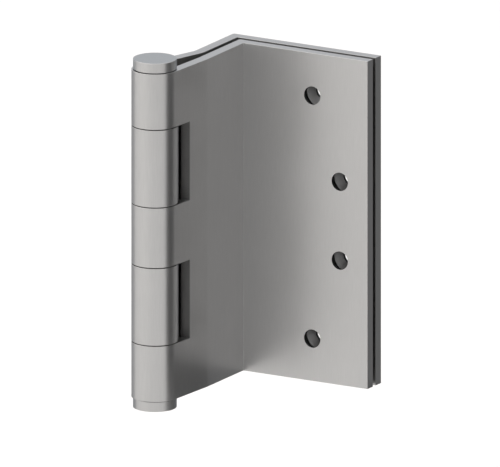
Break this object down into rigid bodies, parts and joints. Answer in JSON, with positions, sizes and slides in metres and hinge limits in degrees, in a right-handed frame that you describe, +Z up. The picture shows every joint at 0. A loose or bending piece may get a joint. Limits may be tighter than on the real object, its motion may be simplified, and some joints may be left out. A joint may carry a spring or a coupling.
{
  "type": "swing clear hinge",
  "caption": "Swing clear butt hinge: L-shaped steel leaves that wrap a door frame's corner, on a round barrel with flat tips, so that the door opens clear of its frame.",
  "frame": {"origin": "on the frame leaf's mounting face, in the middle of its screw holes and of its height", "axes": "+Z up along the pin, +X along the mortise panels from the fold to their free edges, +Y from the frame leaf to the door leaf, with the hinge closed"},
  "size_m": [0.0654, 0.0606, 0.1216],
  "materials": {
    "leaf_steel": "satin",
    "pin_steel": "satin",
    "bush_bronze": "oiled sintered bronze"
  },
  "bodies": {
    "frame_side": {"frame_leaf": "leaf_steel", "hinge_pin": "pin_steel", "bottom_tip": "pin_steel", "bearing_bush_1_upper": "bush_bronze", "bearing_bush_2_lower": "bush_bronze", "bearing_bush_3_upper": "bush_bronze", "bearing_bush_4_lower": "bush_bronze"},
    "door_side": {"door_leaf": "leaf_steel", "bearing_bush_1_lower": "bush_bronze", "bearing_bush_2_upper": "bush_bronze", "bearing_bush_3_lower": "bush_bronze", "bearing_bush_4_upper": "bush_bronze"}
  },
  "joints": [
    {"name": "door_swing", "type": "hinge", "parent": "frame_side", "child": "door_side", "pos_m": [-0.0414, -0.0436, 0], "axis": [0, 0, 1], "range_deg": [0, 180]}
  ]
}
